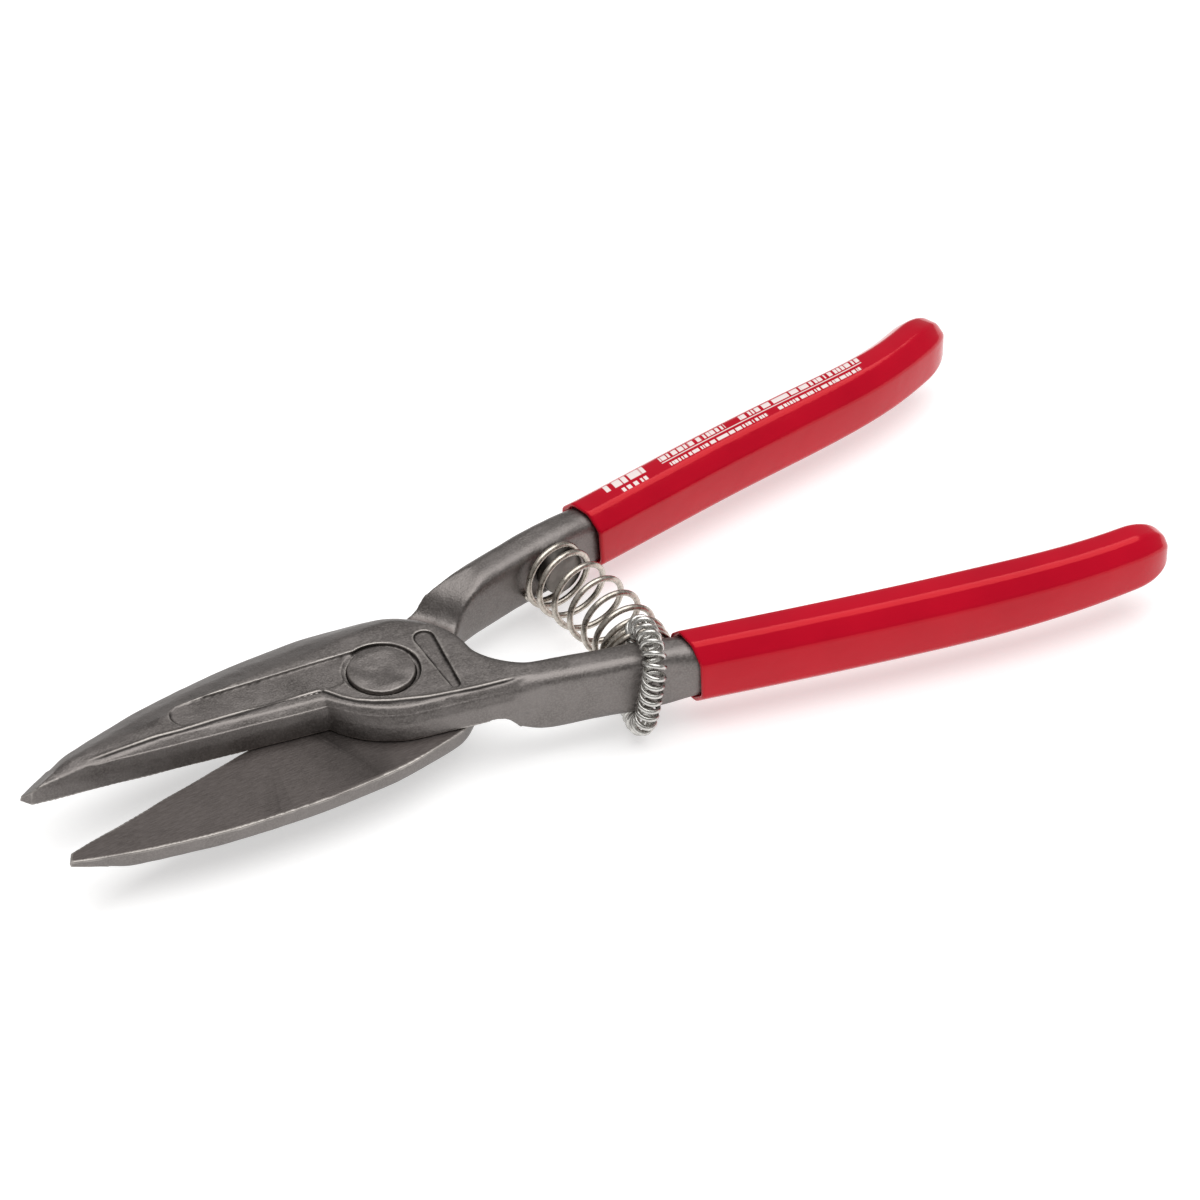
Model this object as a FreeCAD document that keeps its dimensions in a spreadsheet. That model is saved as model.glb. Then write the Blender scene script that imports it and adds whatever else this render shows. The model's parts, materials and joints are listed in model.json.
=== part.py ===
import FreeCAD, Part
import math
import os
import Sketcher
from FreeCAD import Placement, Rotation, Vector

# Hand-forged tin snips of the Berlin pattern, standing open under their spring.
# Millimetres. +Z is up, the pivot axis is the Z axis, and the origin is on it in the nut's lower face.
# The blades point to -X and the handles to +X. The two halves meet in the mating plane.
# "Front" is the upper half (blade back towards +Y, handle towards -Y), "rear" the lower one, which is the same
# forging turned over about X. A shape that is made for the front half is drawn with the mating plane at Z = 0.

doc = FreeCAD.newDocument("tin_snips")
sheet = doc.addObject("Spreadsheet::Sheet", "Sizes")

DRIVING = [
    ("mating_height", 13.6, "height of the mating plane over the nut's lower face"),
    ("mating_gap", 0.1, "gap between the two ground faces"),
    ("boss_thickness", 7.6, "thickness of each half at the pivot"),
    ("edge_height", 3.8, "height of the upright wall along the blade's back"),
    ("shoulder_height", 6.2, "height of the upright wall along the cutting side"),
    ("cutting_slope", 0.187, "slope of the cutting edge in plan, at rest"),
    ("boss_radius", 15.0, "distance of the neck's outer side from the pivot axis"),
    ("boss_middle", 13.95, "radius of the boss halfway round its cutting side"),
    ("neck_slope", 0.21, "slope of the neck's outer side in plan"),
    ("bore_radius", 4.05, "radius of the pivot bore"),
    ("shank_radius", 4.0, "radius of the bolt's shank"),
    ("head_radius", 7.2, "radius of the bolt's round head"),
    ("head_bore", 7.25, "radius of the counterbore that the head sits in"),
    ("head_top", 7.9, "top of the head over the mating plane"),
    ("head_floor", 4.0, "floor of the head's counterbore over the mating plane"),
    ("head_bevel", 0.4, "bevel round the head"),
    ("ring_groove_radius", 8.2, "outer radius of the groove round the head"),
    ("ring_groove_floor", 6.7, "floor of that groove over the mating plane"),
    ("nib_radius", 1.2, "radius of the nib that stops the bolt from turning"),
    ("nib_place", 5.6, "distance of the nib from the pivot axis"),
    ("nib_length", 1.6, "depth of the nib under the head"),
    ("fit_gap", 0.05, "gap round pieces that sit in a hole of their own body"),
    ("bolt_bevel", 0.6, "bevel of the bolt's end"),
    ("nut_height", 5.0, "height of the nut"),
    ("nut_flats", 14.0, "width of the nut across its flats"),
    ("nut_crown", 6.9, "radius of the nut's flat faces inside their turned bevels"),
    ("nut_bevel", 0.9, "depth of the nut's turned bevels"),
    ("nut_reach", 8.6, "radius that clears the nut's corners"),
    ("thread_gap", 0.02, "gap between the bolt and the nut"),
    ("washer_radius", 8.0, "outer radius of the spring washer"),
    ("washer_bore", 4.15, "radius of the washer's hole"),
    ("washer_sheet", 0.65, "thickness of the washer's sheet"),
    ("washer_height", 0.95, "height of the dished washer"),
    ("bar_width", 8.0, "bare handle, width in plan"),
    ("bar_depth", 14.6, "bare handle, height"),
    ("bar_corner", 2.6, "bare handle, corner radius"),
    ("core_width", 8.8, "handle inside the grip, width in plan"),
    ("core_depth", 13.0, "handle inside the grip, height"),
    ("core_corner", 4.1, "handle inside the grip, corner radius"),
    ("dip_thickness", 1.5, "wall of the dipped grip"),
    ("near_grip_start", 58.3, "where the near grip begins, along X"),
    ("far_grip_start", 61.3, "where the far grip begins, along X"),
    ("near_end", 161.0, "where the steel of the near handle ends, along X"),
    ("far_end", 160.0, "where the steel of the far handle ends, along X"),
    ("ring_place", 48.8, "place of the retaining ring along the near handle, X"),
    ("ring_tube", 2.7, "outer radius of the ring's fine coil"),
    ("ring_lean", 8.5, "lean of the ring, degrees"),
    ("ring_gap", 0.25, "gap between the ring and the handle"),
    ("coil_radius", 7.1, "opening spring, radius to the middle of its wire"),
    ("coil_wire", 0.675, "opening spring, radius of its wire"),
    ("coil_pitch", 3.875, "opening spring, mean pitch"),
    ("coil_length", 31.0, "opening spring, length along its axis"),
    ("coil_place", 51.3, "opening spring, distance of its axis from the pivot"),
    ("coil_foot", 16.2, "opening spring, how far it reaches towards the near handle, -Y"),
    ("peg_radius", 5.0, "spring peg, radius of its button"),
    ("peg_button", 3.4, "spring peg, height of its button"),
    ("peg_shank", 2.2, "spring peg, radius of its shank"),
    ("peg_depth", 4.0, "spring peg, depth of its shank in the handle"),
    ("peg_lift", 0.2, "gap between the peg's button and the handle"),
    ("panel_depth", 0.6, "depth of the long recess in the blade's top"),
    ("slot_depth", 0.7, "depth of the narrow recess behind the head"),
]
for row, (alias, number, note) in enumerate(DRIVING, start=1):
    sheet.set(f"A{row}", note)
    sheet.set(f"B{row}", str(number))
    sheet.setAlias(f"B{row}", alias)
doc.recompute()
SIZE = {alias: float(sheet.get(alias)) for alias, number, note in DRIVING}


# ---------------------------------------------------------------------------------------------------------------
# Helpers. A length is given as words, the sheet's aliases with an optional minus sign: "mating_height -fit_gap".

def value(words):
    return sum(-SIZE[word[1:]] if word.startswith("-") else SIZE[word] for word in words.split())


def formula(words):
    return " ".join(("- Sizes." if word.startswith("-") else "+ Sizes.") + word.lstrip("-") for word in words.split())


def bind(thing, sizes):
    for name, words in sizes.items():
        thing.setExpression(name, formula(words))


def new_body(name):
    body = doc.addObject("PartDesign::Body", name)
    body.Label = name
    return body


def new_sketch(body, name, plane):
    sketch = body.newObject("Sketcher::SketchObject", name)
    for feature in body.Origin.OriginFeatures:
        if feature.Role == plane:
            sketch.AttachmentSupport = [(feature, "")]
    sketch.MapMode = "FlatFace"
    return sketch


def tie(sketch, constraint, expression):
    """Adds a constraint whose size follows an expression of the sheet's cells."""
    index = sketch.addConstraint(constraint)
    sketch.setExpression(f"Constraints[{index}]", expression)


def draw_loop(sketch, places):
    """Straight lines from place to place and back to the first one. Returns the first line's number."""
    first = sketch.GeometryCount
    count = len(places)
    for i in range(count):
        sketch.addGeometry(Part.LineSegment(places[i], places[(i + 1) % count]), False)
    for i in range(count):
        sketch.addConstraint(Sketcher.Constraint("Coincident", first + i, 2, first + (i + 1) % count, 1))
    return first


def draw_profile(sketch, corners):
    """A closed outline of straight lines, each corner tied to the sheet by its two distances from the origin."""
    first = draw_loop(sketch, [Vector(value(across), value(up), 0) for across, up in corners])
    for line, (across, up) in enumerate(corners, start=first):
        for kind, words, axis in (("DistanceX", across, -2), ("DistanceY", up, -1)):
            if words:
                tie(sketch, Sketcher.Constraint(kind, -1, 1, line, 1, value(words)), formula(words))
            else:
                sketch.addConstraint(Sketcher.Constraint("PointOnObject", line, 1, axis))


def turned_piece(name, corners):
    """A piece turned on a lathe: the profile, radius and height, goes once round the Z axis."""
    body = new_body(name)
    sketch = new_sketch(body, name + "_profile", "XZ_Plane")
    draw_profile(sketch, corners)
    turning = body.newObject("PartDesign::Revolution", name + "_turning")
    turning.Profile = sketch
    turning.ReferenceAxis = (sketch, ["V_Axis"])
    turning.Angle = 360
    return body


def cylinder(name, radius, foot, top):
    """An upright cylinder on the pivot axis from foot to top, all three given in words."""
    thing = doc.addObject("Part::Cylinder", name)
    length = top + " " + " ".join(word[1:] if word.startswith("-") else "-" + word for word in foot.split())
    bind(thing, {"Radius": radius, "Height": length})
    if foot:
        thing.setExpression("Placement.Base.z", formula(foot))
    return thing


def free_shape(name, shape):
    thing = doc.addObject("Part::Feature", name)
    thing.Shape = shape
    return thing


def cut(name, base, tool):
    thing = doc.addObject("Part::Cut", name)
    thing.Base = base
    thing.Tool = tool
    return thing


def fuse(name, pieces):
    thing = doc.addObject("Part::MultiFuse", name)
    thing.Shapes = pieces
    return thing


# ---------------------------------------------------------------------------------------------------------------
# The blade and boss of one half, drawn for the front half: cutting edge towards -Y, mating face at Z = 0.

CUT_X = -15.0
CUT_Y = -3.36
NOTCH_X = -14.3
BOSS_TURN = math.radians(-123)
LEAVE_X = 1.0
NECK_BEND_X = 20.5
NECK_X = 30.0


def cutting_line(x, inset):
    return CUT_Y + inset - SIZE["cutting_slope"] * (x - CUT_X)


def neck_line(x, inset):
    slope = SIZE["neck_slope"]
    return -(SIZE["boss_radius"] - inset) * math.hypot(1, slope) - slope * x


def outline(height, insets, tip):
    """The half's outline in plan at one height. The insets move the blade's cutting side, the boss's cutting side,
    the blade's back, the boss's back and the boss's rear towards the middle. The tip is a short blunt edge from
    tip[0], tip[1], which is tip[2] wide along X."""
    cut_in, boss_in, back_in, top_in, rear_in = insets
    tip_x, tip_y, tip_width = tip
    tip_cut = (tip_x + tip_width, cutting_line(tip_x + tip_width, cut_in))
    notch = (NOTCH_X, cutting_line(NOTCH_X, cut_in))
    middle_radius = SIZE["boss_middle"] - boss_in
    boss_middle = (middle_radius * math.cos(BOSS_TURN), middle_radius * math.sin(BOSS_TURN))
    leave = (LEAVE_X, neck_line(LEAVE_X, boss_in))
    neck_bend = (NECK_BEND_X, neck_line(NECK_BEND_X, boss_in))
    neck_out = (NECK_X, neck_line(NECK_X, boss_in + 1.0))
    waist_in = 0.6 * rear_in
    neck_in = (NECK_X, -13.9 - waist_in)
    waist = (24.5 - waist_in, -10.1 - waist_in)
    rear_low = (19.95 - waist_in, -3.2)
    rear_side = (17.7 - rear_in, 9.4 - 2 * rear_in)
    rear_top = (9.0, 17.75 - top_in)
    back_top = (-1.5, 20.15 - (back_in + top_in) / 2)
    back_start = (-12.0, 21.2 - back_in)
    crown = 3.3 * ((back_start[0] - tip_x) / 66.5) ** 2
    back_middle = ((back_start[0] + tip_x) / 2, (back_start[1] + tip_y) / 2 + crown)

    def at(place):
        return Vector(place[0], place[1], height)

    return Part.Wire([
        Part.LineSegment(at(tip_cut), at(notch)).toShape(),
        Part.Arc(at(notch), at(boss_middle), at(leave)).toShape(),
        Part.LineSegment(at(leave), at(neck_bend)).toShape(),
        Part.LineSegment(at(neck_bend), at(neck_out)).toShape(),
        Part.LineSegment(at(neck_out), at(neck_in)).toShape(),
        Part.Arc(at(neck_in), at(waist), at(rear_low)).toShape(),
        Part.Arc(at(rear_low), at(rear_side), at(rear_top)).toShape(),
        Part.Arc(at(rear_top), at(back_top), at(back_start)).toShape(),
        Part.Arc(at(back_start), at(back_middle), at((tip_x, tip_y))).toShape(),
        Part.LineSegment(at((tip_x, tip_y)), at(tip_cut)).toShape(),
    ])


def tip_bevel():
    """What is ground off the blade's tip, over a plane that falls towards the tip and the blade's back."""
    back = Vector(-77.5, 11.3, 1.2)
    along = Vector(-69.0, 13.4, 3.5) - back
    across = Vector(-76.0, 9.3, 3.2) - back
    side = 60.0
    block = Part.makeBox(side, side, side, Vector(-side / 2, -side / 2, 0))
    block.Placement = Placement(back, Rotation(Vector(0, 0, 1), across.cross(along)))
    return block


def blade_shape():
    """Upright walls up to the edge height, then bevels up to the flat top, which ends well behind the tip."""
    levels = [
        outline(SIZE["mating_gap"] / 2, (0, 0, 0, 0, 0), (-78.5, 10.6, 1.5)),
        outline(SIZE["edge_height"], (0.3, 0.5, 0.2, 0.15, 0.1), (-78.3, 10.7, 1.5)),
        outline(SIZE["shoulder_height"], (0.9, 1.5, 5.0, 2.95, 0.6), (-66.0, 10.6, 1.4)),
        outline(SIZE["boss_thickness"], (2.3, 2.6, 9.4, 5.5, 1.6), (-50.0, 9.9, 1.2)),
    ]
    return Part.makeLoft(levels, True, True).cut(tip_bevel())


RECESS_TOP = 12.0


def panel_shape():
    """The long recess in the blade's top: its straight upper border touches the groove round the head."""
    floor = SIZE["boss_thickness"] - SIZE["panel_depth"]
    corners = [(-43.0, 6.05), (-13.5, 0.5), (-8.6, 0.4), (-2.0, 7.95), (-41.2, 12.4)]
    bulge = Vector(-43.9, 10.4, floor)
    places = [Vector(x, y, floor) for x, y in corners]
    edges = [Part.LineSegment(start, end).toShape() for start, end in zip(places, places[1:])]
    edges.append(Part.Arc(places[-1], bulge, places[0]).toShape())
    return Part.Face(Part.Wire(edges)).extrude(Vector(0, 0, RECESS_TOP - floor))


def slot_shape():
    """The narrow recess behind the head: two round ends, the one towards the blade's back the wider."""
    floor = SIZE["boss_thickness"] - SIZE["slot_depth"]
    wide = Vector(12.5, 4.0, floor)
    wide_radius = 2.2
    narrow = Vector(10.8, -11.6, floor)
    narrow_radius = 1.1
    along = (narrow - wide).normalize()
    lean = (wide_radius - narrow_radius) / (narrow - wide).Length
    normals = [along * lean + Vector(-along.y, along.x, 0) * (side * math.sqrt(1 - lean ** 2)) for side in (1, -1)]
    wide_ends = [wide + normal * wide_radius for normal in normals]
    narrow_ends = [narrow + normal * narrow_radius for normal in normals]
    border = Part.Wire([
        Part.LineSegment(wide_ends[0], narrow_ends[0]).toShape(),
        Part.Arc(narrow_ends[0], narrow + along * narrow_radius, narrow_ends[1]).toShape(),
        Part.LineSegment(narrow_ends[1], wide_ends[1]).toShape(),
        Part.Arc(wide_ends[1], wide - along * wide_radius, wide_ends[0]).toShape(),
    ])
    return Part.Face(border).extrude(Vector(0, 0, RECESS_TOP - floor))


# ---------------------------------------------------------------------------------------------------------------
# The handles: rounded bars along a route in plan.

NEAR_ROUTE = [(19, -14.0), (30, -17.2), (45, -21.4), (70, -28.0), (100, -35.4), (120, -39.8), (140, -43.2),
              (159, -44.4), (165, -44.3)]
FAR_ROUTE = [(18, 12.6), (29, 16.4), (44, 19.7), (69, 23.5), (99, 27.8), (119, 30.1), (139, 32.7),
             (150, 35.5), (159, 39.2), (164, 41.5)]
NECK_START = 19.0
SECTION_SPACING = 8.0
HALVINGS = 50


class Handle:
    """A handle's route in plan, its middle height, where its grip begins and its steel ends, and the
    round-cornered sections across it."""

    def __init__(self, points, middle_height, grip_start, end):
        self.curve = Part.BSplineCurve()
        self.curve.interpolate([Vector(x, y, middle_height) for x, y in points])
        self.grip_start = grip_start
        self.end = end

    def place(self, x):
        """Middle and direction of the handle where it passes X = x."""
        low = self.curve.FirstParameter
        high = self.curve.LastParameter
        for halving in range(HALVINGS):
            middle = (low + high) / 2
            if self.curve.value(middle).x < x:
                low = middle
            else:
                high = middle
        return self.curve.value(low), self.curve.tangent(low)[0]

    def section(self, x, width, depth, corner):
        """A rounded rectangle across the handle at X = x."""
        middle, along = self.place(x)
        across = Vector(-along.y, along.x, 0)
        up = Vector(0, 0, 1)
        corner = min(corner, width / 2 - 0.05)
        quarters = [(1, 1, 0), (-1, 1, 90), (-1, -1, 180), (1, -1, 270)]
        ends = []
        for right, top, start in quarters:
            centre = middle + across * (right * (width / 2 - corner)) + up * (top * (depth / 2 - corner))
            points = []
            for angle in (start, start + 45, start + 90):
                turn = math.radians(angle)
                points.append(centre + across * (corner * math.cos(turn)) + up * (corner * math.sin(turn)))
            ends.append(points)
        edges = []
        for i, points in enumerate(ends):
            edges.append(Part.Arc(*points).toShape())
            edges.append(Part.LineSegment(points[2], ends[(i + 1) % 4][0]).toShape())
        return Part.Wire(edges)


def smooth_step(x, low, high):
    share = min(1.0, max(0.0, (x - low) / (high - low)))
    return share * share * (3 - 2 * share)


def taper(x):
    """The handles get slimmer towards their ends."""
    return 1.0 - 0.13 * smooth_step(x, 115.0, 165.0)


def stations(first, last, spacing):
    """Evenly spaced places from first to last, no further apart than the spacing."""
    count = math.ceil((last - first) / spacing)
    return [first + (last - first) * i / count for i in range(count + 1)]


def steel_section(handle, x):
    """The bare bar up to the grip, then the slimmer, rounder core that the grip covers."""
    share = smooth_step(x, handle.grip_start - 7.0, handle.grip_start + 5.0)
    scale = taper(x)
    sizes = [
        (SIZE["bar_" + kind] * (1 - share) + SIZE["core_" + kind] * share) * scale
        for kind in ("width", "depth", "corner")
    ]
    return handle.section(x, *sizes)


def steel_bar(handle):
    sections = [steel_section(handle, x) for x in stations(NECK_START, handle.end, SECTION_SPACING)]
    return Part.makeLoft(sections, True, False)


def grip_shape(handle):
    """The dipped sleeve: an even wall over the core, closed by a dome over the handle's end."""
    wall = 2 * SIZE["dip_thickness"]

    def skin(x, scale):
        size = taper(x) * scale
        return handle.section(x, SIZE["core_width"] * size + wall * scale, SIZE["core_depth"] * size + wall * scale,
                              SIZE["core_corner"] * size + wall / 2 * scale)

    dome_start = handle.end - 2.5
    dome_length = 6.4
    sleeve = Part.makeLoft([skin(x, 1.0) for x in stations(handle.grip_start, dome_start, SECTION_SPACING)],
                           True, False)
    turns = [math.radians(angle) for angle in (0, 20, 40, 58, 72, 82)]
    dome = Part.makeLoft([skin(dome_start + dome_length * math.sin(turn), math.cos(turn)) for turn in turns],
                         True, True)
    return sleeve.fuse(dome).cut(steel_bar(handle))


def foot_shape():
    """What fills the neck under the mating plane between the boss and the bar, flush with the neck's outer side."""
    floor = -6.6
    height = 7.6
    corners = [(14.0, -18.2), (21.0, -19.6), (27.0, -19.3), (27.0, -14.0), (14.0, -11.0)]
    places = [Vector(x, y, floor) for x, y in corners]
    return Part.Face(Part.makePolygon(places + places[:1])).extrude(Vector(0, 0, height))


def step_tool():
    """Everything under the mating plane inside a rounded ramp, turned about the pivot, that leads from the ground
    face to the full depth of the bar. The other half's boss turns inside it."""
    low = -20.0
    ground = SIZE["mating_gap"] / 2
    line = [Vector(radius, 0, height) for radius, height in
            [(24.2, ground), (27.2, -1.3), (29.0, -3.6), (32.0, -5.5), (39.0, -7.4)]]
    ramp = Part.BSplineCurve()
    ramp.interpolate(line)
    corners = [line[-1], Vector(line[-1].x, 0, low), Vector(0, 0, low), Vector(0, 0, ground), line[0]]
    edges = [Part.LineSegment(first, second).toShape() for first, second in zip(corners, corners[1:])]
    return Part.Face(Part.Wire(edges + [ramp.toShape()])).revolve(Vector(), Vector(0, 0, 1), 360)


def make_half(name, handle, extra_tools):
    """One forging: blade and boss, handle bar and the neck between them, with its recesses and the pivot bore.
    It is drawn lying on the mating plane, then set in place, turned over about X for the rear half."""
    blade = free_shape(name + "_blade", blade_shape())
    bar = free_shape(name + "_bar", steel_bar(handle))
    foot = free_shape(name + "_foot", foot_shape())
    neck = cut(name + "_neck", fuse(name + "_bar_and_foot", [bar, foot]), free_shape(name + "_step", step_tool()))
    whole = fuse(name + "_whole", [blade, neck])
    recesses = fuse(name + "_recesses", [
        free_shape(name + "_panel", panel_shape()),
        free_shape(name + "_slot", slot_shape()),
        cylinder(name + "_bore", "bore_radius", "", "boss_thickness boss_thickness"),
    ] + extra_tools)
    half = cut(name, whole, recesses)
    half.Label = name
    return half


half_middle = (SIZE["boss_thickness"] - (SIZE["bar_depth"] - SIZE["boss_thickness"])) / 2
near_handle = Handle(NEAR_ROUTE, half_middle, SIZE["near_grip_start"], SIZE["near_end"])
far_handle = Handle([(x, -y) for x, y in FAR_ROUTE], half_middle, SIZE["far_grip_start"], SIZE["far_end"])

upright = Placement(Vector(0, 0, SIZE["mating_height"]), Rotation())
turned_over = Placement(Vector(0, 0, SIZE["mating_height"]), Rotation(Vector(1, 0, 0), 180))

head_seat = cylinder("head_seat", "head_bore", "head_floor", "boss_thickness boss_thickness")
head_groove = cylinder("head_groove", "ring_groove_radius", "ring_groove_floor", "boss_thickness boss_thickness")
nib_seat = doc.addObject("Part::Cylinder", "nib_seat")
bind(nib_seat, {"Radius": "nib_radius fit_gap", "Height": "nib_length fit_gap fit_gap",
                "Placement.Base.x": "nib_place", "Placement.Base.z": "head_floor -nib_length -fit_gap"})

front_half = make_half("front_half", near_handle, [head_seat, head_groove, nib_seat])
front_half.Placement = upright

# The far handle also has the blind hole that the spring peg is pressed into.
peg_middle, peg_along = far_handle.place(SIZE["coil_place"])
peg_inward = Vector(-peg_along.y, peg_along.x, 0)
peg_face = peg_middle + peg_inward * (SIZE["bar_width"] / 2)
peg_face.z = 0
peg_clear = 2.0
peg_hole = free_shape("peg_hole", Part.makeCylinder(SIZE["peg_shank"] + SIZE["fit_gap"],
                                                    SIZE["peg_depth"] + SIZE["fit_gap"] + peg_clear,
                                                    peg_face + peg_inward * peg_clear, peg_inward * -1))
rear_half = make_half("rear_half", far_handle, [peg_hole])
rear_half.Placement = turned_over

# ---------------------------------------------------------------------------------------------------------------
# The pivot: bolt with a round sunk head, spring washer and thin nut.

bolt = turned_piece("pivot_bolt", [
    ("", ""),
    ("shank_radius -bolt_bevel", ""),
    ("shank_radius", "bolt_bevel"),
    ("shank_radius", "mating_height head_floor"),
    ("head_radius", "mating_height head_floor"),
    ("head_radius", "mating_height head_top -head_bevel"),
    ("head_radius -head_bevel", "mating_height head_top"),
    ("", "mating_height head_top"),
])
nib_sketch = new_sketch(bolt, "pivot_bolt_nib", "XY_Plane")
nib_sketch.addGeometry(Part.Circle(Vector(SIZE["nib_place"], 0, 0), Vector(0, 0, 1), SIZE["nib_radius"]), False)
tie(nib_sketch, Sketcher.Constraint("Radius", 0, SIZE["nib_radius"]), "Sizes.nib_radius")
tie(nib_sketch, Sketcher.Constraint("DistanceX", -1, 1, 0, 3, SIZE["nib_place"]), "Sizes.nib_place")
nib_sketch.addConstraint(Sketcher.Constraint("PointOnObject", 0, 3, -1))
nib_sketch.setExpression("AttachmentOffset.Base.z", formula("mating_height head_floor -nib_length"))
nib = bolt.newObject("PartDesign::Pad", "pivot_bolt_nib_pad")
nib.Profile = nib_sketch
bind(nib, {"Length": "nib_length fit_gap"})

turned_piece("spring_washer", [
    ("washer_bore", "nut_height washer_height -washer_sheet"),
    ("washer_radius", "nut_height"),
    ("washer_radius", "nut_height washer_sheet"),
    ("washer_bore", "nut_height washer_height"),
])

nut = new_body("pivot_nut")
nut_sketch = new_sketch(nut, "pivot_nut_outline", "XY_Plane")
corner = SIZE["nut_flats"] / math.sqrt(3)
SIDES = 6
turns = [2 * math.pi * side / SIDES for side in range(SIDES)]
draw_loop(nut_sketch, [Vector(corner * math.cos(turn), corner * math.sin(turn), 0) for turn in turns])
corner_circle = nut_sketch.addGeometry(Part.Circle(Vector(), Vector(0, 0, 1), corner), True)
thread_circle = nut_sketch.addGeometry(Part.Circle(Vector(), Vector(0, 0, 1), SIZE["shank_radius"]), False)
for circle in (corner_circle, thread_circle):
    nut_sketch.addConstraint(Sketcher.Constraint("Coincident", circle, 3, -1, 1))
tie(nut_sketch, Sketcher.Constraint("Radius", corner_circle, corner), "Sizes.nut_flats / sqrt(3)")
tie(nut_sketch, Sketcher.Constraint("Radius", thread_circle, SIZE["shank_radius"]), formula("shank_radius thread_gap"))
for side in range(SIDES):
    nut_sketch.addConstraint(Sketcher.Constraint("PointOnObject", side, 1, corner_circle))
for side in range(1, SIDES):
    nut_sketch.addConstraint(Sketcher.Constraint("Equal", 0, side))
nut_sketch.addConstraint(Sketcher.Constraint("PointOnObject", 0, 1, -1))
nut_pad = nut.newObject("PartDesign::Pad", "pivot_nut_pad")
nut_pad.Profile = nut_sketch
bind(nut_pad, {"Length": "nut_height"})
doc.recompute()
bevel_sketch = new_sketch(nut, "pivot_nut_bevels", "XZ_Plane")
draw_profile(bevel_sketch, [("nut_crown", ""), ("nut_reach", ""), ("nut_reach", "nut_bevel")])
draw_profile(bevel_sketch, [("nut_crown", "nut_height"), ("nut_reach", "nut_height"),
                            ("nut_reach", "nut_height -nut_bevel")])
bevels = nut.newObject("PartDesign::Groove", "pivot_nut_turning")
bevels.Profile = bevel_sketch
bevels.ReferenceAxis = (bevel_sketch, ["V_Axis"])
bevels.Angle = 360
doc.recompute()
if not bevels.Shape.Volume < nut_pad.Shape.Volume:
    raise RuntimeError("the nut's bevels cut nothing")

# ---------------------------------------------------------------------------------------------------------------
# The opening spring, its peg in the far handle, and the ring that holds its other end to the near handle.

def to_row(place, upside_down):
    """A place drawn for a half, in the whole object's frame."""
    return (turned_over if upside_down else upright).multVec(place)


peg = turned_piece("spring_peg", [
    ("", ""),
    ("peg_shank", ""),
    ("peg_shank", "peg_depth peg_lift"),
    ("peg_radius", "peg_depth peg_lift"),
    ("peg_radius", "peg_depth peg_lift peg_button"),
    ("", "peg_depth peg_lift peg_button"),
])
peg_root = to_row(peg_face - peg_inward * SIZE["peg_depth"], True)
peg_direction = turned_over.Rotation.multVec(peg_inward)
peg.Placement = Placement(peg_root, Rotation(Vector(0, 0, 1), peg_direction))

coil = doc.addObject("Part::Helix", "opening_spring_line")
bind(coil, {"Pitch": "coil_pitch", "Height": "coil_length", "Radius": "coil_radius"})
coil.SegmentLength = 1
coil_section = doc.addObject("Part::Circle", "opening_spring_wire")
bind(coil_section, {"Radius": "coil_wire", "Placement.Base.x": "coil_radius"})
coil_section.Placement.Rotation = Rotation(Vector(1, 0, 0), 90)
doc.recompute()
spring = doc.addObject("Part::Sweep", "opening_spring")
spring.Sections = [coil_section]
spring.Spine = (coil, [f"Edge{i + 1}" for i in range(len(coil.Shape.Edges))])
spring.Solid = True
spring.Frenet = True
spring.Label = "opening_spring"
spring.Placement = Placement(Vector(SIZE["coil_place"], -SIZE["coil_foot"], SIZE["mating_height"]),
                             Rotation(Vector(1, 0, 0), -90))

ring_middle, ring_along = near_handle.place(SIZE["ring_place"])
reach = SIZE["ring_tube"] + SIZE["ring_gap"]
ring_line = near_handle.section(SIZE["ring_place"], SIZE["bar_width"] + 2 * reach, SIZE["bar_depth"] + 2 * reach,
                                SIZE["bar_corner"] + reach)
start = ring_line.Vertexes[0].Point
tangent = ring_line.Edges[0].tangentAt(ring_line.Edges[0].FirstParameter)
ring_circle = Part.Wire(Part.Circle(start, tangent, SIZE["ring_tube"]).toShape())
ring_shape = ring_line.makePipeShell([ring_circle], True, False)
ring_shape.rotate(ring_middle, Vector(-ring_along.y, ring_along.x, 0), SIZE["ring_lean"])
ring = free_shape("retaining_ring", ring_shape)
ring.Placement = upright

# ---------------------------------------------------------------------------------------------------------------
# The dipped grips.

near_grip = free_shape("near_grip", grip_shape(near_handle))
near_grip.Placement = upright
far_grip = free_shape("far_grip", grip_shape(far_handle))
far_grip.Placement = turned_over

# ---------------------------------------------------------------------------------------------------------------
# Check everything, then write one file for each piece.

NODES = ["front_half", "rear_half", "pivot_bolt", "spring_washer", "pivot_nut", "opening_spring", "spring_peg",
         "retaining_ring", "near_grip", "far_grip"]

doc.recompute()
for thing in doc.Objects:
    if "Invalid" in thing.State or "Error" in thing.State:
        raise RuntimeError(f"{thing.Name} did not build: {thing.State}")
os.makedirs("parts", exist_ok=True)
for name in NODES:
    shape = doc.getObject(name).Shape
    if shape.isNull() or not shape.isValid() or len(shape.Solids) != 1:
        raise RuntimeError(f"{name} is not one valid solid")
    shape.exportStep(f"parts/{name}.step")
    print(f"{name}: {shape.Volume:.0f} mm3, {shape.BoundBox}")
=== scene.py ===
import json
import math

import bmesh
import bpy
import numpy as np
from mathutils import Matrix, Vector


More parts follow.
